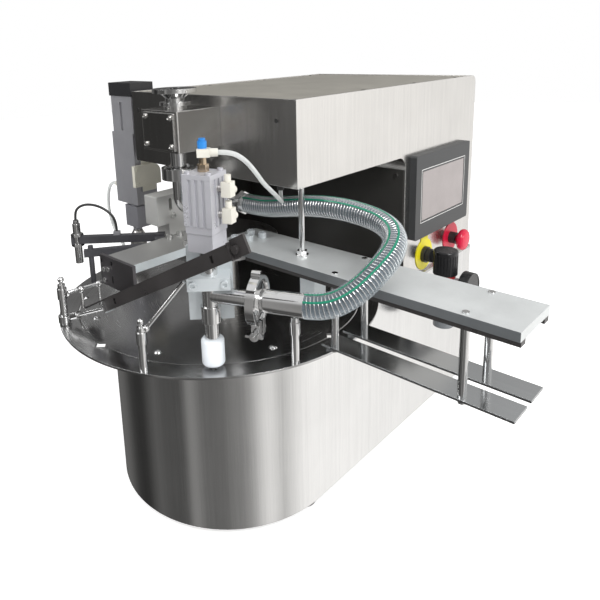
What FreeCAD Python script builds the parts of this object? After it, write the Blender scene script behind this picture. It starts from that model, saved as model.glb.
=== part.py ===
import FreeCAD, Part
import math
import os

# Rotary spouted-pouch piston liquid filler, millimetres, +Z up.
# Modelled about the turntable axis (x = y = 0) with the floor at z = 0, then
# moved at the end so that the origin is the bottom centre of the whole machine.
# -Y is the round operator end, +X is the pouch infeed side.

V = FreeCAD.Vector
xAxis, yAxis, zAxis = V(1, 0, 0), V(0, 1, 0), V(0, 0, 1)

# driving dimensions
originX, originY = 103.0, 131.5
sheet = 2.0
footHeight = 12.0
cabinetRadius, cabinetCentreY = 187.0, 16.0
cabinetRear = 511.0
deckTop = 284.0
ringTop, ringThick = 301.0, 3.0
ringOuter, pitchRadius = 250.0, 222.0
discRadius = 220.6
stations = 8
indexTop = 200.0
housingHalf = 181.0
housingFront, columnFront = -18.0, 259.0
overhangBottom, housingTop = 503.0, 621.0
wingFront, throatRadius = 177.0, 20.0
hubRadius, hubTop, hubThick = 95.0, 398.0, 10.0
plateThick = 11.0
trackHalf, trackStart, trackEnd = 41.0, 44.0, 480.0
railTop, railThick, spoutSlot = 311.0, 3.0, 12.0
nozzleRadius, nozzleAngle = 222.0, -45.0
portHeight = 397.0
portAngle = 24.0
flangeReach, pipeEnd = 58.5, 119.0
clampDrop = 40.0
cylinderAngle = 18.0
valveX, valveY = -9.0, -62.0
boxLeft, boxRight, boxFront = -43.0, 38.0, -98.0
boxBottom, boxTop, spoolZ = 548.0, 606.0, 573.0
capX, capY = -222.0, 0.0
hmiY, hmiZ = 373.0, 428.5
stopY, stopZ = 431.0, 320.0
selectorY, selectorZ = 329.0, 315.0
regulatorX, regulatorY, regulatorBase = 240.0, 294.0, 240.0
gaugeY, gaugeZ = 304.0, 284.0
hoseDiameter, airDiameter, cableDiameter = 31.0, 6.0, 4.0

clampReach = flangeReach + 2.5
nozzleX = nozzleRadius * math.cos(math.radians(nozzleAngle))
nozzleY = nozzleRadius * math.sin(math.radians(nozzleAngle))


# ---------- shape helpers ----------

def block(x0, x1, y0, y1, z0, z1):
    return Part.makeBox(x1 - x0, y1 - y0, z1 - z0, V(x0, y0, z0))


def rod(x, y, z, radius, length, axis=zAxis):
    return Part.makeCylinder(radius, length, V(x, y, z), axis)


def tube(x, y, z, outer, inner, length, axis=zAxis):
    return rod(x, y, z, outer, length, axis).cut(rod(x, y, z, inner, length, axis))


def between(start, end, radius):
    run = end - start
    return Part.makeCylinder(radius, run.Length, start, run)


def hexagon(x, y, z, flats, height, axis=zAxis):
    corner = flats / math.sqrt(3)
    points = [V(corner * math.cos(math.radians(60 * i)), corner * math.sin(math.radians(60 * i)), 0)
              for i in range(7)]
    solid = Part.Face(Part.makePolygon(points)).extrude(V(0, 0, height))
    solid.Placement = FreeCAD.Placement(V(x, y, z), FreeCAD.Rotation(zAxis, axis))
    return solid


def union(shapes):
    joined = shapes[0]
    for shape in shapes[1:]:
        joined = joined.fuse(shape)
    return joined.removeSplitter()


def without(shape, cutters):
    for cutter in cutters:
        shape = shape.cut(cutter)
    return shape


def turned(shape, x, y, degrees):
    copy = shape.copy()
    copy.rotate(V(x, y, 0), zAxis, degrees)
    return copy


def polar(radius, degrees, z=0.0):
    angle = math.radians(degrees)
    return V(radius * math.cos(angle), radius * math.sin(angle), z)


def profile(points, direction):
    return Part.Face(Part.makePolygon(points + [points[0]])).extrude(direction)


def roundedEdges(shape, radius, wanted):
    edges = [edge for edge in shape.Edges if wanted(edge)]
    return shape.makeFillet(radius, edges)


def dShape(radius, rear, z0, z1):
    front = Part.makeCylinder(radius, z1 - z0, V(0, cabinetCentreY, z0))
    return union([front, block(-radius, radius, cabinetCentreY, rear, z0, z1)])


def screwHead(x, y, z, radius, height, axis=zAxis):
    head = rod(x, y, z, radius, height, axis)
    depth = axis * (height * 0.45)
    socket = hexagon(x + depth.x, y + depth.y, z + depth.z, radius, height, axis)
    return head.cut(socket)


def routeTube(points, diameter, inner=0.0):
    """Straight runs joined by tangent arcs, each as large as its runs allow."""
    edges, radii, previous = [], [], points[0]
    for before, corner, after in zip(points, points[1:], points[2:]):
        inward, outward = before - corner, after - corner
        reach = 0.45 * min(inward.Length, outward.Length)
        inward.normalize()
        outward.normalize()
        start, end = corner + inward * reach, corner + outward * reach
        half = (math.pi - inward.getAngle(outward)) / 2
        radius = reach / math.tan(half)
        bisector = inward + outward
        bisector.normalize()
        centre = corner + bisector * (reach / math.sin(half))
        middle = centre - bisector * radius
        edges += [Part.LineSegment(previous, start).toShape(), Part.Arc(start, middle, end).toShape()]
        radii.append(radius)
        previous = end
    edges.append(Part.LineSegment(previous, points[-1]).toShape())
    path = Part.Wire(edges)
    direction = points[1] - points[0]
    section = Part.Wire(Part.Circle(points[0], direction, diameter / 2).toShape())
    solid = path.makePipeShell([section], True, False)
    if inner:
        hole = Part.Wire(Part.Circle(points[0], direction, inner / 2).toShape())
        solid = solid.cut(path.makePipeShell([hole], True, False))
    area = math.pi / 4 * (diameter ** 2 - inner ** 2)
    print("route length %.1f, radii %s, volume ratio %.4f" % (
        path.Length, [round(r, 1) for r in radii], solid.Volume / (area * path.Length)))
    return solid


# ---------- base ----------

def baseCabinet():
    bottom, top = footHeight, deckTop - 4.0
    wall = dShape(cabinetRadius, cabinetRear, bottom, top)
    wall = wall.cut(dShape(cabinetRadius - sheet, cabinetRear - sheet, bottom + 3, top))
    rearOpening = block(-140, 140, cabinetRear - sheet - 1, cabinetRear + 1, 50, 250)
    return wall.cut(rearOpening)


def rearPanel():
    panel = block(-152, 152, cabinetRear, cabinetRear + sheet, 40, 260)
    slots = [block(-60, 60, cabinetRear - 1, cabinetRear + 3, 110 + 14 * i, 115 + 14 * i) for i in range(6)]
    return without(panel, slots)


def cabinetDeck():
    deck = dShape(cabinetRadius, cabinetRear, deckTop - 4, deckTop)
    openings = [rod(0, 0, deckTop - 5, 60, 7), block(-120, 120, 330, 470, deckTop - 5, deckTop + 1)]
    return without(deck, openings)


def levellingFeet():
    spots = [(x, y) for x in (-160, 160) for y in (8, 470)]
    return Part.makeCompound([
        Part.makeCone(20, 15, footHeight, V(x, y, 0)) for x, y in spots])


def ringBrackets():
    brackets = []
    for angle in (60, 90, 120, 180, 240):
        foot = block(150, 182, -14, 14, deckTop, deckTop + 2)
        arm = block(170, 236, -14, 14, deckTop + 2, deckTop + 4)
        stand = block(224, 236, -14, 14, deckTop + 4, ringTop - ringThick)
        brackets.append(turned(union([foot, arm, stand]), 0, 0, angle))
    return Part.makeCompound(brackets)


# ---------- turntable ----------

def notch(angle, reach):
    cutter = block(-6.5, 6.5, -6.5, 6.5, ringTop - 5, ringTop + 1)
    cutter.rotate(V(0, 0, 0), zAxis, 45)
    cutter.translate(V(reach, 0, 0))
    return turned(cutter, 0, 0, angle)


def rotaryDisc():
    disc = rod(0, 0, ringTop - ringThick, discRadius, ringThick)
    cuts = [notch(45 * i, pitchRadius) for i in range(stations)]
    cuts.append(rod(0, 0, ringTop - 5, 31, 8))
    return without(disc, cuts)


def rotaryHub():
    bore, top = 30.06, ringTop - ringThick
    flange = tube(0, 0, top - 6, 75, bore, 6)
    sleeve = tube(0, 0, indexTop + 0.4, 42, bore, top - 6 - indexTop - 0.4)
    wheel = tube(0, 0, indexTop + 0.4, 62, bore, 14)
    pockets = [turned(rod(62, 0, indexTop - 1, 8, 17), 0, 0, 45 * i + 22.5) for i in range(stations)]
    return union([flange, sleeve, without(wheel, pockets)])


def discScrews():
    heads = []
    for i in range(stations):
        spot = polar(198, 45 * i + 22.5)
        dome = Part.makeSphere(7, V(spot.x, spot.y, ringTop - 3.6))
        heads.append(dome.common(block(spot.x - 9, spot.x + 9, spot.y - 9, spot.y + 9, ringTop, ringTop + 9)))
    return Part.makeCompound(heads)


def guideRing():
    ring = tube(0, 0, ringTop - ringThick, ringOuter, pitchRadius, ringThick)
    entry = block(pitchRadius - 10, ringOuter + 1, -spoutSlot / 2, spoutSlot / 2, ringTop - 5, ringTop + 1)
    return without(ring, [entry, notch(-90, pitchRadius)])


def indexDrive():
    """A hollow rotary indexer round the centre column, its motor and its stand."""
    case = block(-70, 70, -60, 130, 90, indexTop).cut(rod(0, 0, 80, 30, indexTop))
    motor = union([rod(0, 130, 145, 38, 110, yAxis), block(-30, 30, 240, 262, 115, 175)])
    low = footHeight + 3
    stand = union([block(-110, 110, -50, 120, low, low + 4), block(-80, -70, -40, 110, low + 4, 170),
                   block(70, 80, -40, 110, low + 4, 170)]).cut(rod(0, 0, low + 3, 30, 2))
    return Part.makeCompound([case, motor, stand])


def centreColumn():
    low = footHeight + 7
    return tube(0, 0, low, 30.0, 22, hubTop - hubThick - low)


# ---------- tooling above the turntable ----------

def toolingHub():
    plate = rod(0, 0, hubTop - hubThick, hubRadius, hubThick)
    holes = [rod(polar(60, a).x, polar(60, a).y, hubTop - 12, 4, 14) for a in (45, 135, 225, 315)]
    return without(plate, holes)


def frontBeam():
    top = block(-31, 31, -180, -44, hubTop, hubTop + 12)
    plate = block(-45.5, 35, -185, -180, hubTop - 32, hubTop + 12)
    rib = block(-31, -25, -180, -98, hubTop - 24, hubTop)
    slots = [block(x - 2, x + 2, -186, -179, low, low + 6) for x, low in ((-41, hubTop), (-16, hubTop + 1))]
    slots.append(block(-18, -14, -186, -179, hubTop - 25, hubTop - 14))
    return without(union([top, plate, rib]), slots)


def frontPlateScrews():
    spots = [(-35, hubTop - 8), (-35, hubTop - 24), (-24, hubTop - 6)]
    return Part.makeCompound([screwHead(x, -185, z, 3.5, 2.5, V(0, -1, 0)) for x, z in spots])


def beamScrews():
    spots = [(-20, -60), (20, -60), (-20, -80), (20, -80)]
    return Part.makeCompound([screwHead(x, y, hubTop + 12, 5, 6) for x, y in spots])


def riserBlock():
    base = block(-92, -60, -49, -10, hubTop, hubTop + 20)
    riser = block(-92, -60, -70, -10, hubTop + 20, hubTop + 67)
    riser = roundedEdges(riser, 1.5, lambda e: abs(e.BoundBox.XLength - 32) < 0.1
                         and e.BoundBox.ZMin > hubTop + 60)
    slot = union([block(-70, -55, -47, -41, hubTop + 44, hubTop + 58),
                  rod(-70, -44, hubTop + 44, 3, 15, xAxis),
                  rod(-70, -44, hubTop + 58, 3, 15, xAxis)])
    return without(union([base, riser]), [slot])


def riserScrew():
    return screwHead(-60, -40, hubTop + 32, 5, 5, xAxis)


# ---------- pouch infeed track ----------

def trackPlate():
    plate = block(trackStart, trackEnd, -trackHalf, trackHalf, hubTop, hubTop + plateThick)
    holes = [rod(x, y, hubTop - 1, 2.7, plateThick + 2) for x in (252, 421) for y in (-33, 33)]
    return without(plate, holes)


def trackSideStrips():
    low, high = hubTop - 6, hubTop
    return Part.makeCompound([
        block(100, trackEnd, -trackHalf + 2, -trackHalf + 14, low, high),
        block(100, trackEnd, trackHalf - 14, trackHalf - 2, low, high)])


def trackRail(side):
    inner, outer = side * spoutSlot / 2, side * trackHalf
    low, high = min(inner, outer), max(inner, outer)
    rail = block(236, trackEnd, low, high, railTop - railThick, railTop)
    return without(rail, [rod(x, side * 33, railTop - 9, 2.7, 12) for x in (252, 421)])


def railSpacers():
    return Part.makeCompound([
        block(237, 247, side * 24 - 8, side * 24 + 8, ringTop, railTop - railThick) for side in (-1, 1)])


def trackPosts():
    posts = []
    for x in (252, 421):
        for y in (-33, 33):
            stem = rod(x, y, railTop, 5, hubTop - 6 - railTop)
            tip = rod(x, y, railTop - railThick - 3, 2.6, railThick + 3)
            nut = rod(x, y, railTop - railThick - 5, 4.4, 2)
            posts.append(union([stem, tip, nut]))
    return Part.makeCompound(posts)


def trackScrews():
    screws = []
    for x in (252, 421):
        for y in (-33, 33):
            screws.append(union([rod(x, y, hubTop, 2.6, plateThick), rod(x, y, hubTop + plateThick, 4, 1.5)]))
    return Part.makeCompound(screws)


def trackBlock():
    body = union([block(196, 220, -34, -10, hubTop - 56, hubTop - 6),
                  block(196, 220, -26, -10, hubTop - 6, hubTop)])
    return without(body, [rod(195, -22, hubTop - 44, 3, 26, xAxis)])


def hangerRod():
    low = hubTop + plateThick
    return union([rod(178, -7, low, 4, overhangBottom - low), hexagon(178, -7, low, 13, 7),
                  rod(178, -7, low, 9, 1.5)])


def hubBolts():
    spots = [(62, -22), (78, -8), (62, 12), (84, 14)]
    return Part.makeCompound([screwHead(x, y, hubTop + plateThick, 6, 8) for x, y in spots])


# ---------- outer guide posts, rods and brace bar ----------

postCircle = 242.0
postSpots = {"right": (-20.0, 60.0), "front": (-66.0, 58.0), "left": (-113.5, 61.0)}


def guidePost(angle, height):
    foot = polar(postCircle, angle, ringTop)
    stem = rod(foot.x, foot.y, foot.z, 5.5, height)
    collar = rod(foot.x, foot.y, foot.z + height - 22, 7, 16)
    neck = rod(foot.x, foot.y, foot.z + height, 2.5, 5)
    ball = Part.makeSphere(4.5, V(foot.x, foot.y, foot.z + height + 7))
    return union([stem, collar, neck, ball])


def guidePosts():
    return Part.makeCompound([guidePost(angle, height) for angle, height in postSpots.values()])


def braceRod():
    start = polar(postCircle, -66.0, ringTop + 48)
    end = V(134.0, -178.4, 414.0)
    run = end - start
    run.normalize()
    first = start + run * 7.6
    return union([between(first, end, 3), Part.makeSphere(5, first + run * 2)])


def leftRods():
    start = polar(postCircle, -113.5, ringTop + 46)
    rail = between(V(start.x + 2, start.y + 7.8, start.z), V(-84, -150, start.z + 2), 3)
    clampA = Part.makeSphere(5.5, V(-88.6, -196, start.z + 0.7))
    clampB = Part.makeSphere(5.5, V(-85.6, -168, start.z + 1.4))
    dropA = between(V(-88.6, -196, start.z), V(-80, -200, 322), 2)
    dropB = between(V(-85.6, -168, start.z), V(-74, -175, 320), 2)
    return union([rail, clampA, clampB, dropA, dropB])


barStart, barEnd = V(-26, -190.5, 341), V(240.4, -194.5, 482)
barHalf, tongueLength = 9.0, 62.0


def barFrame():
    run = barEnd - barStart
    length = run.Length
    run.normalize()
    side = V(0, 0, 1).cross(run)
    side.normalize()
    up = run.cross(side)
    matrix = FreeCAD.Matrix(run.x, side.x, up.x, barStart.x, run.y, side.y, up.y, barStart.y,
                            run.z, side.z, up.z, barStart.z, 0, 0, 0, 1)
    return FreeCAD.Placement(matrix), length


def placed(shape, placement):
    copy = shape.copy()
    copy.Placement = placement.multiply(copy.Placement)
    return copy


def braceBar():
    placement, length = barFrame()
    bar = block(0, length, -5, 5, -barHalf, barHalf)
    tongue = block(-tongueLength, 0, -5, 5, barHalf - 2.5, barHalf)
    notches = [block(28, 34, -6, -2, -4, 4), block(length - 36, length - 30, -6, -2, -4, 4)]
    groove = block(8, length - 8, -2.5, 2.5, barHalf - 3, barHalf + 1)
    return placed(without(union([bar, tongue]), notches + [groove]), placement)


def barBracket():
    placement, length = barFrame()
    plate = block(length, length + 2, -6, 6, -barHalf - 1, barHalf + 1)
    wing = block(length + 2, length + 26, -2, 1, -barHalf, barHalf + 3)
    bolt = rod(length + 9, -2, 0, 4.5, 4, V(0, -1, 0))
    return placed(union([plate, wing, bolt]), placement)


def barEndRod():
    placement, _ = barFrame()
    plate = placed(block(-2.5, 0, -8, 8, -barHalf - 2, barHalf - 4), placement)
    foot = polar(postCircle, -113.5, 309)
    stemStart = V(-28, -191, 335)
    run = foot - stemStart
    run.normalize()
    stem = between(stemStart, foot - run * 8, 3)
    knob = between(foot - run * 27, foot - run * 15, 6.5)
    collar = tube(foot.x, foot.y, 304, 9, 5.5, 10)
    return union([plate, stem, knob, collar])


# ---------- sensors on radial arms ----------

def radialArm(angle, inner, outer, width, z0, z1):
    arm = block(inner, outer, -width / 2, width / 2, z0, z1)
    return turned(arm, 0, 0, angle)


sensorAngle, pinAngle = -135.0, -124.0


def sensorArm():
    arm = radialArm(sensorAngle, 97, 231, 10, 394, 406)
    foot = radialArm(sensorAngle, 84, 97, 14, hubTop, 406)
    hole = turned(rod(pitchRadius, 0, 390, 6.1, 20), 0, 0, sensorAngle)
    return union([arm, foot]).cut(hole)


def pinArm():
    arm = radialArm(pinAngle, 97, 206, 9, 385, 396)
    foot = radialArm(pinAngle, 84, 97, 14, hubTop, 404)
    web = radialArm(pinAngle, 95.5, 99, 14, 385, 404)
    pin = turned(rod(196, 0, 338, 4, 64), 0, 0, pinAngle)
    return union([arm, foot, web, pin])


def sensorBody():
    spot = polar(pitchRadius, sensorAngle)
    return union([rod(spot.x, spot.y, 362, 6.0, 64), hexagon(spot.x, spot.y, 406, 17, 4),
                  hexagon(spot.x, spot.y, 390, 17, 4), rod(spot.x, spot.y, 426, 4.5, 6)])


# ---------- filling nozzle ----------

portDirection = V(math.cos(math.radians(portAngle)), math.sin(math.radians(portAngle)), 0)


def portPoint(distance):
    return V(nozzleX, nozzleY, portHeight) + portDirection * distance


def radialBlock(inner, outer, halfWidth, z0, z1):
    """A block on the nozzle's radius, measured from the nozzle axis outwards."""
    return turned(block(nozzleRadius + inner, nozzleRadius + outer, -halfWidth, halfWidth, z0, z1),
                  0, 0, nozzleAngle)


def onNozzle(radius, z, length, inner=0.0):
    solid = rod(nozzleX, nozzleY, z, radius, length)
    return solid.cut(rod(nozzleX, nozzleY, z, inner, length)) if inner else solid


def nozzleArm():
    arm = turned(block(86, nozzleRadius - 20.6, -19, 19, hubTop, hubTop + 12), 0, 0, nozzleAngle)
    web = radialBlock(-50, -20.6, 4, hubTop + 12, hubTop + 40)
    return union([arm, web])


def nozzlePlate():
    return radialBlock(-20.6, -12.6, 28, 358, 455)


def nozzleClamp():
    clamp = radialBlock(-12.6, 17, 26, 408, 424)
    return clamp.cut(onNozzle(10.5, 400, 40))


def clampBolts():
    screws = []
    for offset in (-19, 19):
        head = screwHead(nozzleRadius + 17, offset, 416, 5, 3, xAxis)
        screws.append(turned(head, 0, 0, nozzleAngle))
    return Part.makeCompound(screws)


def nozzleBody():
    upper = onNozzle(10.5, 383, 72, 6.5)
    collar = onNozzle(12.5, 362, 21, 6.5)
    lower = onNozzle(9, 330, 32, 6.5)
    body = union([upper, collar, lower])
    side = Part.makeCylinder(10, flangeReach, portPoint(0), portDirection).cut(onNozzle(10, 380, 40))
    flange = Part.makeCone(12, 25.2, 3, portPoint(flangeReach - 3), portDirection)
    rim = Part.makeCylinder(25.2, 2.5, portPoint(flangeReach), portDirection)
    core = Part.makeCylinder(7.5, flangeReach + 5, portPoint(0), portDirection)
    return without(union([body, side, flange, rim]), [core, onNozzle(6.5, 330, 125)])


def hosePipe():
    start = flangeReach + 2.5
    rim = Part.makeCylinder(25.2, 2.5, portPoint(start), portDirection)
    cone = Part.makeCone(25.2, 14.2, 3, portPoint(start + 2.5), portDirection)
    pipe = Part.makeCylinder(14.2, pipeEnd - start - 5.5, portPoint(start + 5.5), portDirection)
    bore = Part.makeCylinder(12, pipeEnd, portPoint(start - 1), portDirection)
    return union([rim, cone, pipe]).cut(bore)


def onPort(shape, distance):
    copy = shape.copy()
    copy.rotate(V(0, 0, 0), zAxis, portAngle)
    copy.translate(portPoint(distance))
    return copy


def triClamp():
    band = tube(-5.5, 0, 0, 30, 25.4, 11, xAxis)
    lugs = [block(-5.5, 5.5, side * 6 - 4, side * 6 + 4, -clampDrop - 5, -28) for side in (-1, 1)]
    gap = block(-8, 8, -2, 2, -clampDrop - 8, -20)
    hole = rod(0, -30, -clampDrop, 3.0, 60, yAxis)
    knuckle = rod(-5.5, 0, 32, 5, 11, xAxis).cut(rod(-6, 0, 0, 30, 12, xAxis))
    body = union([band] + lugs + [knuckle])
    bolt = union([rod(0, 14, -clampDrop, radius, length, V(0, -1, 0))
                  for radius, length in ((3, 34), (5, 4))])
    return onPort(Part.makeCompound([without(body, [gap, hole]), bolt]), clampReach)


def wingNut():
    hub = rod(0, -10.3, -clampDrop, 5.5, 7, V(0, -1, 0))
    wings = block(-11, 11, -17, -11, -clampDrop - 1.5, -clampDrop + 1.5)
    bore = rod(0, -8, -clampDrop, 3.06, 12, V(0, -1, 0))
    return onPort(union([hub, wings]).cut(bore), clampReach)


def nozzleTip():
    lower = onNozzle(14.5, 304.5, 35.5)
    lower = roundedEdges(lower, 4, lambda e: e.BoundBox.ZLength < 0.1)
    return lower.cut(onNozzle(9.0, 330, 12)).cut(onNozzle(6.5, 300, 42))


def nozzleStem():
    needle = Part.makeCone(3, 6.3, 6, V(nozzleX, nozzleY, 306))
    plug = onNozzle(6.3, 312, 5)
    stem = onNozzle(3, 312, 142)
    seal = onNozzle(6.44, 432, 8)
    piston = onNozzle(3, 440, 62)
    head = onNozzle(15.94, 499, 10)
    return union([needle, plug, stem, seal, piston, head])


def cylinderBlock(half, z0, z1):
    return turned(block(nozzleX - half, nozzleX + half, nozzleY - half, nozzleY + half, z0, z1),
                  nozzleX, nozzleY, cylinderAngle)


def valveMountBlock():
    body = cylinderBlock(17, 455, 478)
    return without(body, [onNozzle(4, 440, 60)])


def valveCylinder():
    body = cylinderBlock(19, 487, 543)
    grooves = []
    for offset in (-9, 0, 9):
        for turn in (0, 90, 180, 270):
            groove = block(nozzleX + offset - 2, nozzleX + offset + 2, nozzleY - 20, nozzleY - 17.5, 486, 544)
            grooves.append(turned(groove, nozzleX, nozzleY, cylinderAngle + turn))
    bore = onNozzle(16, 491, 48)
    rodHole = onNozzle(3.06, 480, 20)
    return without(body, grooves + [bore, rodHole])


def cylinderCaps():
    top = cylinderBlock(19, 543, 549)
    bottom = cylinderBlock(18, 478, 487).cut(onNozzle(4, 470, 20))
    screws = []
    for x in (-14, 14):
        for y in (-14, 14):
            screws.append(turned(screwHead(nozzleX + x, nozzleY + y, 549, 3.5, 3), nozzleX, nozzleY,
                                 cylinderAngle))
    return Part.makeCompound([top, bottom] + screws)


def flowControls():
    pieces = []
    for z in (500, 531):
        stud = rod(nozzleX + 19, nozzleY, z, 4, 6, xAxis)
        body = block(nozzleX + 25, nozzleX + 37, nozzleY - 6, nozzleY + 6, z - 9, z + 9)
        knob = rod(nozzleX + 31, nozzleY, z + 9, 4, 8)
        collet = rod(nozzleX + 31, nozzleY + 6, z - 3, 5, 7, yAxis)
        pieces.append(turned(union([stud, body, knob, collet]), nozzleX, nozzleY, cylinderAngle))
    return Part.makeCompound(pieces)


fittingX, fittingY = nozzleX - 3.0, nozzleY + 2.0


def topFitting():
    stem = hexagon(fittingX, fittingY, 549, 12, 9)
    neck = rod(fittingX, fittingY, 558, 4.5, 10)
    elbow = block(fittingX - 6, fittingX + 9, fittingY - 6, fittingY + 6, 566, 576)
    spigot = rod(fittingX + 9, fittingY, 571, 5, 9, xAxis)
    return turned(union([stem, neck, elbow, spigot]), fittingX, fittingY, 42)


def fittingRing():
    return union([rod(fittingX, fittingY, 576, 5.5, 9), rod(fittingX, fittingY, 585, 4, 3)])


# ---------- hopper inlet and three-way valve box ----------

def hopperFerrule():
    top = rod(valveX, valveY, 628, 32, 6)
    neck = Part.makeCone(14, 24, 8, V(valveX, valveY, 620))
    column = rod(valveX, valveY, boxTop + 9, 14, 5)
    lower = rod(valveX, valveY, boxTop + 4, 22.5, 5)
    foot = rod(valveX, valveY, boxTop, 17, 4)
    body = union([top, neck, column, lower, foot])
    return body.cut(rod(valveX, valveY, boxTop - 1, 11, 40))


def valveBox():
    body = block(boxLeft, boxRight, boxFront, housingFront, boxBottom, boxTop)
    body = roundedEdges(body, 2, lambda e: abs(e.BoundBox.ZLength - (boxTop - boxBottom)) < 0.1
                        and e.BoundBox.YMax < housingFront - 1)
    bore = rod(valveX, boxFront + 7, spoolZ, 18, 100, yAxis)
    ports = rod(valveX, valveY, boxBottom - 1, 9.5, boxTop - boxBottom + 2)
    pumpPort = [rod(valveX + 10, valveY, spoolZ, 6, 29, xAxis), rod(pumpPortX, valveY, spoolZ, 6, 60, yAxis)]
    return without(body, [bore, ports] + pumpPort)


pumpPortX = valveX + 33.0


def valveCover():
    front = boxFront - 2.5
    plate = block(boxLeft + 6, boxRight - 6, front, boxFront, boxBottom + 3, boxTop - 3)
    screws = [screwHead(x, front, z, 3.5, 2.5, V(0, -1, 0))
              for x in (boxLeft + 12, boxRight - 12) for z in (boxBottom + 9, boxTop - 9)]
    return Part.makeCompound([plate] + screws)


def valveSpool():
    start = boxFront + 7.4
    body = rod(valveX, start, spoolZ, 17.94, 66, yAxis)
    shaft = rod(valveX, start + 66, spoolZ, 7, 65, yAxis)
    spool = union([body, shaft])
    # the L-shaped passage joins the pump port at the side with the inlet above or the outlet below
    passages = [rod(valveX, valveY, spoolZ, 9, 20), rod(valveX, valveY, spoolZ, 9, 40, xAxis)]
    return without(spool, passages)


def spoolActuator():
    body = block(valveX - 30, valveX + 20, 34, 82, 545, 601)
    return body.cut(rod(valveX, 33, spoolZ, 7.08, 50, yAxis))


def outletPipe():
    column = tube(valveX, valveY, 517, 11.5, 9.5, boxBottom - 517)
    upper = tube(valveX, valveY, 510.5, 22, 9.5, 6.5)
    lower = tube(valveX, valveY, 504, 22, 9.5, 6.5)
    band = tube(valveX, valveY, 502, 26, 22, 17)
    bend = routeTube([V(valveX, valveY, 504), V(valveX, valveY, 453), V(valveX, 24, 453), V(30, 24, 453)],
                     23.0, 19.0)
    return Part.makeCompound([union([column, upper]), lower, band, bend])


def hoseBarb():
    nut = union([rod(30, 24, 453, 13, 14, xAxis), hexagon(32, 24, 453, 32, 8, xAxis)])
    return nut.cut(rod(29, 24, 453, 9.5, 20, xAxis))


hoseEnd = V(44, 24, 453)
hoseRoute = [portPoint(pipeEnd), portPoint(pipeEnd + 24), V(307, -75, 409), V(319, -45, 429.5),
             V(319, -10, 444), V(307, 18, 455), V(281, 33, 464), V(245, 36, 469), V(206, 34, 471),
             V(166, 31.5, 468), V(125, 28, 461), V(84, 24, 453), hoseEnd]


def feedHose():
    return routeTube(hoseRoute, hoseDiameter, 25.0)


# ---------- housing ----------

def sideProfile(x0, x1, inset):
    """The gamma-shaped outline of the housing seen from the side, as a slab."""
    front, rear = housingFront + inset, cabinetRear - inset
    top, low, foot = housingTop - inset, overhangBottom + inset, deckTop + inset
    column = columnFront + inset
    points = [V(x0, front, low), V(x0, front, top), V(x0, rear, top), V(x0, rear, foot),
              V(x0, column, foot), V(x0, column, low)]
    return profile(points, V(x1 - x0, 0, 0))


def isThroatEdge(edge):
    box = edge.BoundBox
    atThroat = abs(box.YMax - columnFront) < 3 and abs(box.ZMax - overhangBottom) < 3
    return box.XLength > housingHalf and atThroat


def housingShell():
    outer = roundedEdges(sideProfile(-housingHalf, housingHalf, 0), throatRadius, isThroatEdge)
    outer = roundedEdges(outer, 14, lambda e: abs(e.BoundBox.XLength - 2 * housingHalf) < 0.1
                         and e.BoundBox.YMin > cabinetRear - 1 and e.BoundBox.ZMin > housingTop - 1)
    inner = sideProfile(-housingHalf + sheet, housingHalf - sheet, sheet)
    shell = outer.cut(roundedEdges(inner, throatRadius + sheet, isThroatEdge))
    wing = block(-housingHalf, -housingHalf + sheet, wingFront, columnFront + 1, deckTop, overhangBottom + 1)
    wellBelow = block(-120, 120, 330, 470, deckTop - 1, deckTop + sheet + 1)
    lid = block(-housingHalf + sheet, housingHalf - sheet, housingFront + sheet, cabinetRear - 14,
                housingTop - sheet - 1, housingTop + 1)
    valvePort = rod(valveX, housingFront - 1, spoolZ, 19, 5, yAxis)
    pumpHole = rod(pumpPortX, housingFront - 1, spoolZ, 8.3, 5, yAxis)
    motorVent = [block(x, x + 12, cabinetRear - 3, cabinetRear + 1, 380, 440)
                 for x in range(-60, 84, 24)]
    return without(union([shell, wing]), [lid, valvePort, pumpHole, wellBelow] + motorVent)


def housingLid():
    top = housingTop - 1.5
    return block(-housingHalf + sheet + 0.5, housingHalf - sheet - 0.5, housingFront + sheet + 0.5,
                 cabinetRear - 14.5, top - sheet, top)


def lidLedges():
    low = housingTop - 1.5 - sheet - 3
    high = low + 3
    rear = cabinetRear - 15
    inside = housingHalf - sheet
    front = housingFront + sheet
    return union([block(-inside, inside, front, front + 12, low, high),
                  block(-inside, inside, rear - 12, rear, low, high),
                  block(-inside, -inside + 12, front, rear, low, high),
                  block(inside - 12, inside, front, rear, low, high)])


def lidScrews():
    spots = [(x, y) for y in (-9, 150, 300, 450) for x in (-170, 170)] + [(-60, -9), (60, -9)]
    return Part.makeCompound([rod(x, y, housingTop - 1.5, 3, 0.8) for x, y in spots])


def frontPlugs():
    axis = V(0, -1, 0)
    return Part.makeCompound([rod(x, housingFront, z, 3, 1, axis) for x, z in ((-166, 591), (147, 592))])


# ---------- dosing pump inside the overhang ----------

def dosingCylinder():
    start = 100.0
    barrel = tube(60, start, 560, 32, 28, 180, yAxis)
    heads = [tube(60, start - 12, 560, 36, 8.2, 12, yAxis), tube(60, start + 180, 560, 36, 8.06, 12, yAxis)]
    return union([barrel] + heads)


def transferPipe():
    route = [V(60, 88, 560), V(60, 56, 560), V(pumpPortX, 10, spoolZ), V(pumpPortX, housingFront, spoolZ)]
    return routeTube(route, 16.0, 12.0)


def dosingPiston():
    head = rod(60, 114, 560, 27.95, 16, yAxis)
    stem = rod(60, 130, 560, 8, 230, yAxis)
    fork = block(48, 72, 360, 376, 548, 572)
    return union([head, stem, fork])


def dosingDrive():
    frame = block(30, 90, 505 - 6, 505, 505, 560)
    guide = [block(x, x + 6, 305, 499, 508, 514) for x in (36, 78)]
    return union([frame] + guide)


def doseMotor():
    return union([rod(-80, 300, 460, 35, 120, yAxis), block(-112, -48, 420, 440, 428, 492)])


# ---------- operator panel ----------

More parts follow.
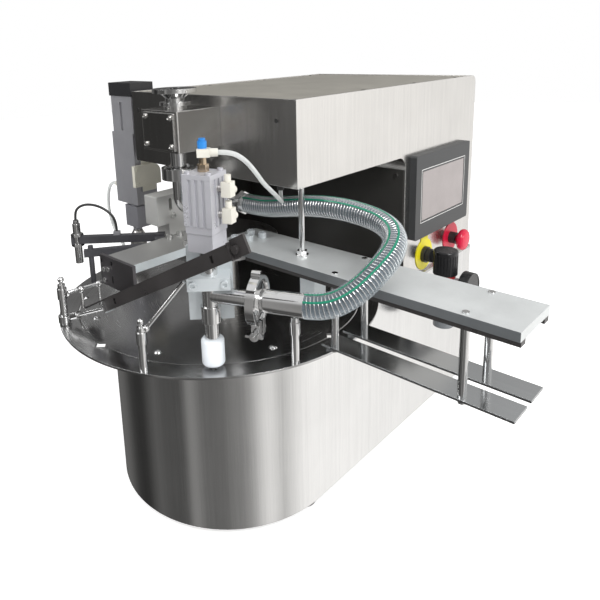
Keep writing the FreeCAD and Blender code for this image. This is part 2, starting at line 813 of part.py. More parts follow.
def hmiBezel():
    body = block(housingHalf, housingHalf + 12, hmiY - 99, hmiY + 99, hmiZ - 73.5, hmiZ + 73.5)
    body = roundedEdges(body, 4, lambda e: abs(e.BoundBox.XLength - 12) < 0.1)
    recess = block(housingHalf + 10.5, housingHalf + 13, hmiY - 77.2, hmiY + 77.2, hmiZ - 42.2, hmiZ + 44.2)
    return body.cut(recess)


def hmiScreen():
    return block(housingHalf + 10.5, housingHalf + 11.6, hmiY - 77, hmiY + 77, hmiZ - 42, hmiZ + 44)


def legendPlate(y, z):
    disc = rod(housingHalf, y, z, 29, 1.2, xAxis)
    tab = block(housingHalf, housingHalf + 1.2, y - 12, y + 12, z + 20, z + 33)
    return union([disc, tab]).cut(rod(housingHalf - 1, y, z, 11, 4, xAxis))


def stopBase():
    return tube(housingHalf, stopY, stopZ, 11, 6.1, 14, xAxis)


def stopButton():
    stem = rod(housingHalf + 5, stopY, stopZ, 6.0, 18, xAxis)
    head = rod(housingHalf + 20.5, stopY, stopZ, 20, 13, xAxis)
    head = roundedEdges(head, 5, lambda e: e.BoundBox.XLength < 0.1 and e.BoundBox.XMin > housingHalf + 30)
    return union([stem, head])


def selectorBase():
    collar = tube(housingHalf + 1.2, selectorY, selectorZ, 14.5, 6.1, 6.8, xAxis)
    neck = tube(housingHalf, selectorY, selectorZ, 11, 6.1, 1.2, xAxis)
    return union([collar, neck])


def selectorKnob():
    stem = rod(housingHalf + 1, selectorY, selectorZ, 6.0, 8, xAxis)
    dial = rod(housingHalf + 8.4, selectorY, selectorZ, 12, 8, xAxis)
    grip = block(housingHalf + 16.4, housingHalf + 28, selectorY - 3.5, selectorY + 3.5,
                 selectorZ - 11, selectorZ + 11)
    return union([stem, dial, grip])


# ---------- air preparation unit ----------

def regulatorBody():
    x, y, low = regulatorX, regulatorY, regulatorBase
    body = block(x - 20, x + 20, y - 20, y + 20, low, low + 52)
    body = roundedEdges(body, 5, lambda e: abs(e.BoundBox.ZLength - 52) < 0.1)
    neck = rod(x, y, low + 52, 15, 6)
    bowl = rod(x, y, low - 30, 17, 30)
    ring = tube(x, y, low + 58, 17, 13, 5)
    arm = block(cabinetRadius + 3, x - 20, y - 12, y + 12, low + 14, low + 20)
    plate = block(cabinetRadius, cabinetRadius + 3, y - 22, y + 22, low - 10, low + 38)
    airInlet = rod(x, y - 12, low + 26, 6.6, 20, V(0, -1, 0))
    body = without(union([body, neck, bowl]), [rod(x, y, low + 36, 6.1, 23), airInlet])
    return Part.makeCompound([body, ring, union([arm, plate])])


def regulatorKnob():
    x, y, low = regulatorX, regulatorY, regulatorBase + 64
    body = rod(x, y, low, 20, 42)
    body = roundedEdges(body, 3, lambda e: e.BoundBox.ZLength < 0.1 and e.BoundBox.ZMin > low + 40)
    ribs = [turned(rod(x + 20.6, y, low - 1, 1.6, 36), x, y, 15 * i) for i in range(24)]
    stem = rod(x, y, low - 26, 6.0, 27)
    return union([without(body, ribs), stem])


def gaugeCase():
    stub = rod(regulatorX + 20, gaugeY, gaugeZ, 6, 8, xAxis)
    case = rod(regulatorX + 28, gaugeY, gaugeZ, 27, 16, xAxis)
    dish = rod(regulatorX + 36, gaugeY, gaugeZ, 24.5, 10, xAxis)
    pivot = rod(regulatorX + 36, gaugeY, gaugeZ, 3, 2, xAxis)
    socket = rod(regulatorX + 34, gaugeY, gaugeZ, 1.56, 5, xAxis)
    body = union([union([stub, case]).cut(dish), pivot]).cut(socket)
    glass = rod(regulatorX + 42, gaugeY, gaugeZ, 24.5, 1.5, xAxis)
    return Part.makeCompound([body, glass])


def gaugeNeedle():
    x = regulatorX + 38.3
    hub = rod(x - 3.3, gaugeY, gaugeZ, 1.5, 4.3, xAxis)
    pointer = block(x, x + 1, gaugeY - 1, gaugeY + 1, gaugeZ - 4, gaugeZ + 20)
    pointer.rotate(V(x, gaugeY, gaugeZ), xAxis, 135)
    return union([hub, pointer, rod(x, gaugeY, gaugeZ, 2.5, 1, xAxis)])


# ---------- capping unit ----------

def capperSlide():
    upper = block(capX - 37, capX + 26, -10, 34, 546, 611)
    lower = block(capX - 43, capX + 22, -10, 34, 415, 546)
    groove = block(capX - 12, capX - 4, -11, -7, 550, 600)
    bore = rod(capX, capY, 414, 8.06, 110)
    return without(union([upper, lower]), [groove, bore])


def capperMotorCap():
    return block(capX - 39, capX + 28, -12, 36, 611, 634)


def capperBracket():
    return union([block(capX + 26, -housingHalf, 0, 30, 560, 600),
                  block(capX + 22, capX + 26, 0, 30, 440, 545)])


def capperSidePlate():
    plate = block(capX + 26, capX + 34, -20, 36, 452, 490)
    plate = roundedEdges(plate, 16, lambda e: abs(e.BoundBox.XLength - 8) < 0.1
                         and e.BoundBox.YMin > 30 and e.BoundBox.ZMin > 480)
    screws = [screwHead(capX + 34, -14, z, 3, 2, xAxis) for z in (459, 483)]
    return Part.makeCompound([plate] + screws)


def capperCarriage():
    ram = rod(capX, capY, 366, 8.0, 112)
    head = block(capX - 20, capX + 18, -10, 28, 372, 412)
    bore = rod(capX, capY, 360, 6.06, 40)
    return union([ram, head]).cut(bore)


def capperChuck():
    shaft = rod(capX, capY, 360, 6.0, 36)
    cone = Part.makeCone(15, 9, 12, V(capX, capY, 352))
    cup = rod(capX, capY, 334, 15, 18)
    socket = rod(capX, capY, 333, 9, 12)
    flutes = [turned(rod(capX + 15.5, capY, 333, 1.5, 14), capX, capY, 30 * i) for i in range(12)]
    return without(union([shaft, cone, cup]), [socket] + flutes)


def airFittings():
    upper = rod(capX - 43, -3, 446, 5, 9, V(-1, 0, 0))
    lower = union([rod(-246, -14, ringTop, 5, 7), hexagon(-246, -14, ringTop, 12, 4)])
    ceiling = union([rod(130, 6, overhangBottom - 12, 5, 12), hexagon(130, 6, overhangBottom - 5, 13, 5)])
    clip = turned(block(154, 164, -4, 4, 406, 412), 0, 0, sensorAngle)
    return Part.makeCompound([upper, lower, ceiling, clip])


loopRoute = [V(capX - 52, -3, 446), V(-287, -3, 446), V(-300, -3, 438), V(-308, -3, 421), V(-310, -4, 402),
             V(-307, -5, 384), V(-298, -7, 367), V(-285, -9, 353), V(-270, -11, 342), V(-256, -13, 333),
             V(-246, -14, 321), V(-246, -14, 308)]
airRoute = [V(167.4, -143.0, 571), V(178.5, -133.0, 571), V(184, -118, 561), V(182, -102, 547),
            V(176, -86, 533.5), V(169.5, -70, 520), V(163, -51, 507), V(156, -33, 495), V(149.5, -18, 485),
            V(142.5, -6, 478), V(135, 2, 476), V(130, 6, 481), V(130, 6, 491)]
cableRoute = [polar(radius, sensorAngle, height) for radius, height in (
    (222, 432), (222, 443), (216.4, 453), (202.3, 457.5), (184.7, 454), (169.4, 444), (159, 430), (159, 412))]


def group(*shapes):
    return Part.makeCompound(list(shapes))


def main():
    nodes = {
        "base_cabinet": baseCabinet(),
        "rear_panel": rearPanel(),
        "cabinet_deck": group(cabinetDeck(), ringBrackets()),
        "levelling_feet": levellingFeet(),
        "guide_ring": guideRing(),
        "rotary_disc": rotaryDisc(),
        "disc_screws": discScrews(),
        "rotary_hub": rotaryHub(),
        "index_drive": indexDrive(),
        "centre_column": centreColumn(),
        "tooling_hub": toolingHub(),
        "front_beam": group(frontBeam(), beamScrews(), frontPlateScrews()),
        "riser_block": group(riserBlock(), riserScrew()),
        "track_plate": trackPlate(),
        "track_strips": trackSideStrips(),
        "track_rails": group(trackRail(-1), trackRail(1), railSpacers()),
        "track_posts": group(trackPosts(), trackScrews()),
        "track_supports": group(trackBlock(), hangerRod(), hubBolts()),
        "guide_posts": guidePosts(),
        "guide_rods": group(braceRod(), leftRods()),
        "inclined_bar": group(braceBar(), barBracket()),
        "bar_end_rod": barEndRod(),
        "sensor_arms": group(sensorArm(), pinArm()),
        "sensor_body": sensorBody(),
        "nozzle_mount": group(nozzleArm(), nozzlePlate()),
        "nozzle_clamp": group(nozzleClamp(), clampBolts()),
        "nozzle_body": nozzleBody(),
        "nozzle_tip": nozzleTip(),
        "nozzle_stem": nozzleStem(),
        "hose_pipe": hosePipe(),
        "tri_clamp": triClamp(),
        "wing_nut": wingNut(),
        "valve_cylinder": valveCylinder(),
        "cylinder_caps": group(cylinderCaps(), valveMountBlock()),
        "cylinder_fittings": group(flowControls(), topFitting(), fittingRing()),
        "hopper_ferrule": hopperFerrule(),
        "valve_box": group(valveBox(), valveCover()),
        "valve_spool": valveSpool(),
        "spool_actuator": spoolActuator(),
        "outlet_pipe": group(outletPipe(), hoseBarb()),
        "feed_hose": feedHose(),
        "housing_shell": housingShell(),
        "housing_lid": group(housingLid(), lidLedges(), lidScrews(), frontPlugs()),
        "dosing_cylinder": group(dosingCylinder(), transferPipe()),
        "dosing_piston": dosingPiston(),
        "dosing_drive": group(dosingDrive(), doseMotor()),
        "hmi_panel": group(hmiBezel(), hmiScreen()),
        "control_bases": group(legendPlate(stopY, stopZ), legendPlate(selectorY, selectorZ), stopBase(),
                               selectorBase()),
        "stop_button": stopButton(),
        "selector_knob": selectorKnob(),
        "regulator_body": regulatorBody(),
        "regulator_knob": regulatorKnob(),
        "pressure_gauge": gaugeCase(),
        "gauge_needle": gaugeNeedle(),
        "capper_slide": group(capperSlide(), capperMotorCap(), capperBracket(), capperSidePlate(),
                              airFittings()),
        "capper_carriage": capperCarriage(),
        "capper_chuck": capperChuck(),
        "air_loop": routeTube(loopRoute, airDiameter),
        "air_tube": routeTube(airRoute, airDiameter),
        "sensor_cable": routeTube(cableRoute, cableDiameter),
    }
    os.makedirs("parts", exist_ok=True)
    for name, shape in nodes.items():
        shape.translate(V(-originX, -originY, 0))
        shape.exportStep("parts/%s.step" % name)
        if not shape.isValid():
            print(name, "is not a valid shape")
    box = Part.makeCompound(list(nodes.values())).BoundBox
    print("%d nodes, size %.1f x %.1f x %.1f, centre %.2f, %.2f" % (
        len(nodes), box.XLength, box.YLength, box.ZLength, box.Center.x, box.Center.y))


main()
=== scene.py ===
import math
import bpy
import bmesh
from mathutils import Matrix, Vector


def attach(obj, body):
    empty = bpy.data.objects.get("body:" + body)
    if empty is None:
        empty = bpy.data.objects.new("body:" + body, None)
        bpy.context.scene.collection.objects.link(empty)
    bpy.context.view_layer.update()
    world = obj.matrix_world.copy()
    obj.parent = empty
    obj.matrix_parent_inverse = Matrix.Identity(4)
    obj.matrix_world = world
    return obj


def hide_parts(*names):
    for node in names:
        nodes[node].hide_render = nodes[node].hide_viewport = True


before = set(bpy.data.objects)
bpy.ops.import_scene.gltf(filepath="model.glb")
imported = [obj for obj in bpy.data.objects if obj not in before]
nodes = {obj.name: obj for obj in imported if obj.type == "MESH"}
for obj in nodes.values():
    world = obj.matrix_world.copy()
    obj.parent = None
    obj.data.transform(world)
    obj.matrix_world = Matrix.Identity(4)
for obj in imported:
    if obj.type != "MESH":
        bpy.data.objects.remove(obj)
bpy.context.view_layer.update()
print("frame loaded:", len(nodes), "nodes")

frameOrigin = (103.0, 131.5)                           # of the shared frame, seen from the turntable axis


def at(x, y, z):
    # millimetres from the turntable axis, turned into metres in the shared frame
    return Vector((x - frameOrigin[0], y - frameOrigin[1], z)) / 1000


# camera, studio and lights

cameraSetup = {
    "place": (662, -589.5, 689.6), "right": (0.7167, 0.6965, -0.0341), "up": (-0.1307, 0.1822, 0.9745),
    "lens": 35.1, "shift": (0.08, -0.2023), "sensor": 36, "clip": (0.05, 60)}


def addCamera(setup):
    data = bpy.data.cameras.new("camera")
    data.sensor_width = setup["sensor"]
    data.lens = setup["lens"]
    data.shift_x, data.shift_y = setup["shift"]
    data.clip_start, data.clip_end = setup["clip"]
    camera = bpy.data.objects.new("camera", data)
    right, up = Vector(setup["right"]).normalized(), Vector(setup["up"]).normalized()
    turn = Matrix((right, up, right.cross(up))).transposed().to_4x4()
    camera.matrix_world = Matrix.Translation(at(*setup["place"])) @ turn
    bpy.context.scene.collection.objects.link(camera)
    bpy.context.scene.camera = camera


class Wire:                                            # one shader value, so that shader maths reads as sums
    def __init__(self, tree, socket=None):
        self.tree, self.socket = tree, socket

    def make(self, kind, settings=None, inputs=None, out=0):
        node = self.tree.nodes.new(kind)
        for name, value in (settings or {}).items():
            if name == "stops":
                ramp = node.color_ramp
                while len(ramp.elements) < len(value):
                    ramp.elements.new(0.5)
                for element, (position, colour) in zip(ramp.elements, value):
                    element.position, element.color = position, colour
            else:
                setattr(node, name, value)
        for name, value in (inputs or {}).items():
            if isinstance(value, Wire):
                self.tree.links.new(value.socket, node.inputs[name])
            else:
                node.inputs[name].default_value = value
        return Wire(self.tree, node.outputs[out] if len(node.outputs) else None)

    def maths(self, operation, first, second):
        return self.make("ShaderNodeMath", {"operation": operation}, {0: first, 1: second})

    def __add__(self, other): return self.maths("ADD", self, other)
    def __radd__(self, other): return self.maths("ADD", other, self)
    def __sub__(self, other): return self.maths("SUBTRACT", self, other)
    def __rsub__(self, other): return self.maths("SUBTRACT", other, self)
    def __mul__(self, other): return self.maths("MULTIPLY", self, other)
    def __gt__(self, other): return self.maths("GREATER_THAN", self, other)
    def __lt__(self, other): return self.maths("LESS_THAN", self, other)
    def power(self, other): return self.maths("POWER", self, other)

    def scaled(self, low, high, newLow=0.0, newHigh=1.0):
        return self.make("ShaderNodeMapRange", {"clamp": True}, {
            "Value": self, "From Min": low, "From Max": high, "To Min": newLow, "To Max": newHigh})

    def blend(self, first, second):                    # self is the amount of the second colour
        return self.make("ShaderNodeMix", {"data_type": "RGBA"}, {0: self, 6: first, 7: second}, 2)

    def part(self, index):
        return self.make("ShaderNodeSeparateXYZ", None, {0: self}, index)

    def noise(self, scale, detail):
        stretched = self.make("ShaderNodeMapping", None, {"Vector": self, "Scale": scale})
        return self.make("ShaderNodeTexNoise", None, {
            "Vector": stretched, "Scale": 1.0, "Detail": detail, "Roughness": 0.55})


def grey(value, tint=(1.0, 1.0, 1.0)):
    return (value * tint[0], value * tint[1], value * tint[2], 1.0)


def scaledColour(colour, factor):
    return tuple(min(1.0, c * factor) for c in colour) + (1.0,)


# bands are (angle, brightness) pairs around the horizon
studio = {
    "bands": [(-180, 0.15), (-168, 0.10), (-158, 0.04), (-142, 0.03), (-134, 0.075), (-125, 0.15),
              (-115, 0.10), (-92, 0.085), (-86, 0.36), (-81, 0.30), (-75, 0.16), (-55, 0.16), (-45, 0.25),
              (-35, 0.27), (-25, 0.45), (-15, 0.95), (-5, 1.05), (5, 0.6), (15, 0.95), (30, 1.22),
              (55, 1.25), (85, 0.9), (105, 0.45), (125, 0.16), (145, 0.10), (165, 0.14), (180, 0.15)],
    "warmth": (1.0, 0.985, 0.965), "roof": (0.35, 0.75), "overhead": 0.85, "background": 1.0}


def addStudio(setup):
    world = bpy.data.worlds.new("studio")
    bpy.context.scene.world = world
    world.use_nodes = True
    world.node_tree.nodes.clear()
    base = Wire(world.node_tree)
    way = base.make("ShaderNodeTexCoord")
    around = base.maths("ARCTAN2", way.part(1), way.part(0)) * (0.5 / math.pi) + 0.5
    stops = [((angle + 180) / 360, grey(value, setup["warmth"])) for angle, value in setup["bands"]]
    bands = base.make("ShaderNodeValToRGB", {"stops": stops}, {0: around})
    colour = way.part(2).scaled(*setup["roof"]).blend(bands, grey(setup["overhead"]))
    background = base.make("ShaderNodeLightPath").blend(colour, grey(setup["background"]))
    light = base.make("ShaderNodeBackground", None, {"Color": background, "Strength": 1.0})
    base.make("ShaderNodeOutputWorld", None, {"Surface": light})


lights = {
    "keyLight": {"place": (1500, -300, 1700), "target": (0, 100, 400), "size": 0.9, "power": 26},
    "fillLight": {"place": (-700, -1700, 1500), "target": (0, 0, 300), "size": 1.2, "power": 12}}


def addLight(name, facts):
    data = bpy.data.lights.new(name, "AREA")
    data.shape, data.size, data.energy = "DISK", facts["size"], facts["power"]
    lamp = bpy.data.objects.new(name, data)
    lamp.location = at(*facts["place"])
    lamp.rotation_euler = (at(*facts["target"]) - lamp.location).to_track_quat("-Z", "Y").to_euler()
    bpy.context.scene.collection.objects.link(lamp)


addCamera(cameraSetup)
addStudio(studio)
for name, facts in lights.items():
    addLight(name, facts)
bpy.context.scene.view_settings.view_transform = "Standard"


# finishes

finishes = {}                                          # materials by name
objectCoordinates = 3                                  # this output of a texture coordinate node
grainStretch = {"z": (1, 1, 0.012), "x": (0.012, 1, 1), "y": (1, 0.012, 1), "all": (1, 1, 1)}


def newMaterial(name):
    material = finishes[name] = bpy.data.materials.new(name)
    material.use_nodes = True
    material.node_tree.nodes.clear()
    base = Wire(material.node_tree)
    return base, base.make("ShaderNodeTexCoord", out=objectCoordinates)


def applySurface(base, **values):
    # the principled shader, with its inputs by name
    inputs = {name.replace("_", " "): value for name, value in values.items()}
    base.make("ShaderNodeOutputMaterial", None, {
        "Surface": base.make("ShaderNodeBsdfPrincipled", None, inputs)})


def bumped(base, height, depth, distance, edge):
    # fine relief, on edges that are rounded by this many metres
    rounded = base.make("ShaderNodeBevel", {"samples": 3}, {"Radius": edge})
    return base.make("ShaderNodeBump", None, {
        "Strength": depth, "Distance": distance, "Height": height, "Normal": rounded})


def brushedSteel(name, colour, rough, grain="z", depth=0.05, bands=0.07, edge=0.0012,
                 tint=(1.0, 0.985, 0.96)):
    base, place = newMaterial(name)
    fine = place.noise(tuple(900 * s for s in grainStretch[grain]), 2.0)
    coarse = place.noise(tuple(140 * s for s in grainStretch[grain]), 3.0)
    cloud = place.noise((9, 9, 9), 4.0)
    tone = fine.scaled(0.3, 0.7) * 0.35 + coarse.scaled(0.3, 0.7) * 0.25 + cloud.scaled(0.3, 0.7) * 0.4
    colours = tone.blend(grey(colour * (1 - bands), tint), grey(min(1.0, colour * (1 + bands * 0.6)), tint))
    applySurface(base, Base_Color=colours, Metallic=1.0, Roughness=rough + (tone - 0.5) * 0.08,
                 Normal=bumped(base, fine * 0.6 + coarse * 0.4, depth, 0.0004, edge))


def turnedSteel(name, colour, rough, centre=(0.0, 0.0), depth=0.06, bands=0.12, edge=0.0008):
    # rings left by a lathe about a vertical axis
    base, place = newMaterial(name)
    middle = at(*centre, 0)
    x, y = place.part(0) - middle.x, place.part(1) - middle.y
    radius = (x * x + y * y).power(0.5)
    turn = base.maths("ARCTAN2", y, x)
    polar = base.make("ShaderNodeCombineXYZ", None, {
        0: radius * 900.0, 1: turn * 1.2, 2: place.part(2) * 30.0})
    rings = base.make("ShaderNodeTexNoise", None, {"Vector": polar, "Scale": 1.0, "Detail": 2.0})
    cloud = place.noise((14, 14, 14), 4.0)
    tone = rings.scaled(0.3, 0.7) * 0.55 + cloud.scaled(0.35, 0.65) * 0.45
    colours = tone.blend(grey(colour * (1 - bands)), grey(colour * (1 + bands * 0.6)))
    applySurface(base, Base_Color=colours, Metallic=1.0, Roughness=rough + (tone - 0.5) * 0.14,
                 Normal=bumped(base, rings, depth, 0.0004, edge))


def speckle(place, size):
    # fine grain, and the same with wider clouds mixed in
    fine = place.noise((size, size, size), 2.0)
    return fine, fine * 0.4 + place.noise((25, 25, 25), 4.0).scaled(0.3, 0.7) * 0.6


def mouldedPlastic(name, colour, rough, depth, edge, variation, metallic=0.0):
    base, place = newMaterial(name)
    fine, tone = speckle(place, 700)
    colours = tone.blend(scaledColour(colour, 1 - variation), scaledColour(colour, 1 + variation))
    applySurface(base, Base_Color=colours, Metallic=metallic, Roughness=rough + (tone - 0.5) * 0.2,
                 Normal=bumped(base, fine, depth, 0.0003, edge))


def zonedFinish(name, ground, zones):
    # ground is a colour, how metallic and how rough; each zone adds the same for a box in millimetres
    base, place = newMaterial(name)
    fine, tone = speckle(place, 600)
    colour, metallic, rough = (base.make(kind) for kind in (
        "ShaderNodeRGB", "ShaderNodeValue", "ShaderNodeValue"))
    colour.socket.default_value = (*ground[0], 1.0)
    metallic.socket.default_value, rough.socket.default_value = ground[1:]
    for low, high, tint, metal, sheen in zones:
        inside = None
        for axis, (least, most) in enumerate(zip(at(*low), at(*high))):
            within = (place.part(axis) > least) * (place.part(axis) < most)
            inside = within if inside is None else inside * within
        colour = inside.blend(colour, (*tint, 1.0))
        metallic = metallic + inside * (metal - metallic)
        rough = rough + inside * (sheen - rough)
    shaded = tone.scaled(0.2, 0.8).blend(grey(0.9), grey(1.0))
    tinted = base.make("ShaderNodeMix", {"data_type": "RGBA", "blend_type": "MULTIPLY"},
                       {0: 1.0, 6: colour, 7: shaded}, 2)
    applySurface(base, Base_Color=tinted, Metallic=metallic, Roughness=rough + (tone - 0.5) * 0.08,
                 Normal=bumped(base, fine, 0.12, 0.0003, 0.0008))


def clearPlastic(name, colour, alpha, rough):
    # clearest where it is seen square on
    base, place = newMaterial(name)
    fine = place.noise((300, 300, 300), 2.0)
    cloud = place.noise((40, 40, 40), 3.0)
    edge = base.make("ShaderNodeLayerWeight", None, {"Blend": 0.35}, 1)
    colours = cloud.scaled(0.3, 0.7).blend(scaledColour(colour, 0.9), scaledColour(colour, 1.0))
    bump = base.make("ShaderNodeBump", None, {"Strength": 0.15, "Distance": 0.0004, "Height": cloud})
    applySurface(base, Base_Color=colours, Roughness=rough + fine * 0.08, Alpha=alpha + edge * 0.35,
                 Normal=bump)


screen = {"middle": (373, 428.5), "line": (0.8, 0.8, 0.78), "glass": (0.31, 0.28, 0.275),
          "bezel": (0.042, 0.044, 0.046)}


def screenZone(depths, halfWidth, below, above, tint, rough):
    # a zone about the middle of the touch screen
    y, z = screen["middle"]
    return (depths[0], y - halfWidth, z - below), (depths[1], y + halfWidth, z + above), tint, 0.0, rough


zones = {
    "capperFinish": (((0.34, 0.34, 0.36), 0.35, 0.36), [
        ((-270, -40, 611), (-180, 50, 640), (0.03, 0.03, 0.032), 0.2, 0.4),
        ((-196, -30, 440), (-184, 50, 500), (0.74, 0.72, 0.62), 0.1, 0.5),
        ((-290, -10, 440), (-265.2, 6, 452), (0.74, 0.72, 0.66), 0.0, 0.4),
        ((120, -10, 480), (140, 20, 504), (0.05, 0.05, 0.05), 0.2, 0.4)]),
    "fittingFinish": (((0.70, 0.68, 0.61), 0.0, 0.36), [
        ((140, -170, 548), (170, -140, 566), (0.62, 0.50, 0.36), 1.0, 0.25),
        ((140, -170, 576.2), (170, -140, 600), (0.02, 0.22, 0.62), 0.0, 0.35),
        ((174, -190, 480), (182.5, -120, 545), (0.62, 0.60, 0.56), 1.0, 0.3)]),
    "lidFinish": (((0.47, 0.45, 0.40), 0.8, 0.48), [
        ((-200, -20, 619.7), (200, 520, 622), (0.03, 0.03, 0.03), 0.3, 0.4),
        ((-200, -25, 560), (200, -18.05, 621), (0.03, 0.03, 0.03), 0.3, 0.4)]),
    "hmiFinish": ((screen["bezel"], 0.0, 0.45), [
        screenZone((192.6, 196), 81, 46, 48, screen["line"], 0.4),
        screenZone((192.6, 196), 80, 45, 47, screen["bezel"], 0.4),
        screenZone((191, 192.8), 77.1, 42.1, 44.1, screen["glass"], 0.1)]),
    "legendFinish": (((0.035, 0.035, 0.035), 0.2, 0.38), [
        ((180, 400, 280), (182.3, 462, 360), (0.58, 0.006, 0.04), 0.0, 0.35),
        ((180, 298, 280), (182.3, 360, 360), (0.80, 0.70, 0.01), 0.0, 0.4)]),
    "regulatorFinish": (((0.40, 0.40, 0.41), 0.3, 0.42), [
        ((215, 265, 298.2), (265, 320, 303.2), (0.45, 0.03, 0.03), 0.0, 0.4),
        ((215, 265, 200), (265, 320, 239.9), (0.16, 0.17, 0.18), 0.0, 0.2)]),
    "beamFinish": (((0.50, 0.50, 0.49), 0.85, 0.42), [
        ((-60, -186.5, 360), (60, -179.9, 412), (0.20, 0.19, 0.20), 0.9, 0.3),
        ((30.9, -180, 396), (31.2, -40, 411), (0.80, 0.86, 0.88), 0.5, 0.45)]),
    "trackFinish": (((0.68, 0.70, 0.70), 0.55, 0.48), [
        ((40, -41.2, 390), (500, -40.9, 412), (0.22, 0.235, 0.245), 0.6, 0.35)]),
    "supportFinish": (((0.60, 0.64, 0.66), 0.3, 0.4), [
        ((160, -20, 409.1), (190, 10, 504), (0.70, 0.70, 0.70), 1.0, 0.14)]),
    "footFinish": (((0.02, 0.02, 0.022), 0.0, 0.6), [
        ((-300, -300, 8.05), (300, 600, 14), (0.6, 0.6, 0.6), 1.0, 0.3)]),
}
for name, (ground, boxes) in zones.items():
    zonedFinish(name, ground, boxes)

brushedSteel("cabinetSteel", 0.72, 0.2, bands=0.12, tint=(1.0, 1.0, 0.995))
brushedSteel("sheetSteel", 0.68, 0.22, bands=0.12)
brushedSteel("worktopSteel", 0.5, 0.2, "y")
brushedSteel("boxSteel", 0.78, 0.14, depth=0.03, bands=0.05, edge=0.0018)
brushedSteel("railSteel", 0.52, 0.14, "x", tint=(0.96, 0.985, 1.0))
brushedSteel("millSteel", 0.58, 0.3, "all", 0.05, 0.06, 0.001)
brushedSteel("polishedSteel", 0.72, 0.1, "all", 0.03, 0.08, 0.0006, (1, 1, 1))
turnedSteel("ringSteel", 0.5, 0.2)
turnedSteel("discSteel", 0.52, 0.22)
turnedSteel("hubSteel", 0.42, 0.3)
turnedSteel("nozzleSteel", 0.7, 0.14, (157, -157), 0.05, 0.12, 0.0006)
mouldedPlastic("lightAluminium", (0.60, 0.64, 0.66), 0.4, 0.1, 0.0012, 0.06, 0.3)
mouldedPlastic("greyAnodised", (0.34, 0.34, 0.37), 0.34, 0.1, 0.0008, 0.08, 0.5)
mouldedPlastic("silverAnodised", (0.56, 0.56, 0.60), 0.32, 0.08, 0.001, 0.06, 0.45)
mouldedPlastic("darkAnodised", (0.10, 0.10, 0.11), 0.42, 0.2, 0.0008, 0.15, 0.5)
mouldedPlastic("paleAluminium", (0.70, 0.70, 0.68), 0.45, 0.15, 0.001, 0.05, 0.5)
mouldedPlastic("blackPaint", (0.035, 0.032, 0.032), 0.32, 0.12, 0.0008, 0.25)
mouldedPlastic("blackPlastic", (0.022, 0.022, 0.024), 0.42, 0.2, 0.0006, 0.2)
mouldedPlastic("blackGloss", (0.010, 0.010, 0.011), 0.2, 0.05, 0.0008, 0.2)
mouldedPlastic("whiteAcetal", (0.80, 0.84, 0.88), 0.34, 0.05, 0.0012, 0.03)
mouldedPlastic("redGloss", (0.60, 0.005, 0.045), 0.22, 0.04, 0.001, 0.08)
mouldedPlastic("tubeWhite", (0.72, 0.74, 0.73), 0.28, 0.04, 0.0004, 0.05)
mouldedPlastic("cableBlack", (0.03, 0.03, 0.03), 0.4, 0.1, 0.0004, 0.1)
# near-black finish for the panels that are painted shade in the recess under the overhang
mouldedPlastic("paintedShadeBlack", (0.022, 0.021, 0.019), 0.4, 0.1, 0.001, 0.15)
mouldedPlastic("greenStripe", (0.003, 0.20, 0.115), 0.3, 0.05, 0.0003, 0.1)
clearPlastic("clearHose", (0.72, 0.82, 0.88), 0.05, 0.05)
clearPlastic("milkyLiner", (0.10, 0.125, 0.15), 0.95, 0.25)
clearPlastic("clearTube", (0.86, 0.88, 0.87), 0.42, 0.08)

nodeFinish = {
    "base_cabinet": "cabinetSteel", "rear_panel": "sheetSteel", "cabinet_deck": "worktopSteel",
    "levelling_feet": "blackPlastic", "guide_ring": "ringSteel", "rotary_disc": "discSteel",
    "disc_screws": "polishedSteel", "rotary_hub": "hubSteel", "index_drive": "greyAnodised",
    "centre_column": "millSteel", "tooling_hub": "hubSteel", "front_beam": "beamFinish",
    "riser_block": "paleAluminium", "track_plate": "trackFinish", "track_strips": "blackPaint",
    "track_rails": "railSteel", "track_posts": "polishedSteel", "track_supports": "supportFinish",
    "guide_posts": "polishedSteel", "guide_rods": "polishedSteel", "inclined_bar": "blackPaint",
    "bar_end_rod": "polishedSteel", "sensor_arms": "darkAnodised", "sensor_body": "polishedSteel",
    "nozzle_mount": "lightAluminium", "nozzle_clamp": "lightAluminium", "nozzle_body": "nozzleSteel",
    "nozzle_tip": "whiteAcetal", "nozzle_stem": "polishedSteel", "hose_pipe": "polishedSteel",
    "tri_clamp": "polishedSteel", "wing_nut": "polishedSteel", "valve_cylinder": "silverAnodised",
    "cylinder_caps": "silverAnodised", "cylinder_fittings": "fittingFinish",
    "hopper_ferrule": "polishedSteel", "valve_box": "boxSteel", "valve_spool": "millSteel",
    "spool_actuator": "greyAnodised", "outlet_pipe": "polishedSteel", "housing_shell": "sheetSteel",
    "housing_lid": "lidFinish", "dosing_cylinder": "millSteel", "dosing_piston": "millSteel",
    "dosing_drive": "greyAnodised", "hmi_panel": "hmiFinish", "control_bases": "legendFinish",
    "stop_button": "redGloss", "selector_knob": "blackPlastic", "regulator_body": "regulatorFinish",
    "regulator_knob": "blackGloss", "pressure_gauge": "blackGloss", "gauge_needle": "whiteAcetal",
    "capper_slide": "capperFinish", "capper_carriage": "greyAnodised", "capper_chuck": "millSteel",
}
for name, kind in nodeFinish.items():
    nodes[name].data.materials.clear()
    nodes[name].data.materials.append(finishes[kind])
print("finishes made:", len(finishes))


# building new pieces, and the floor

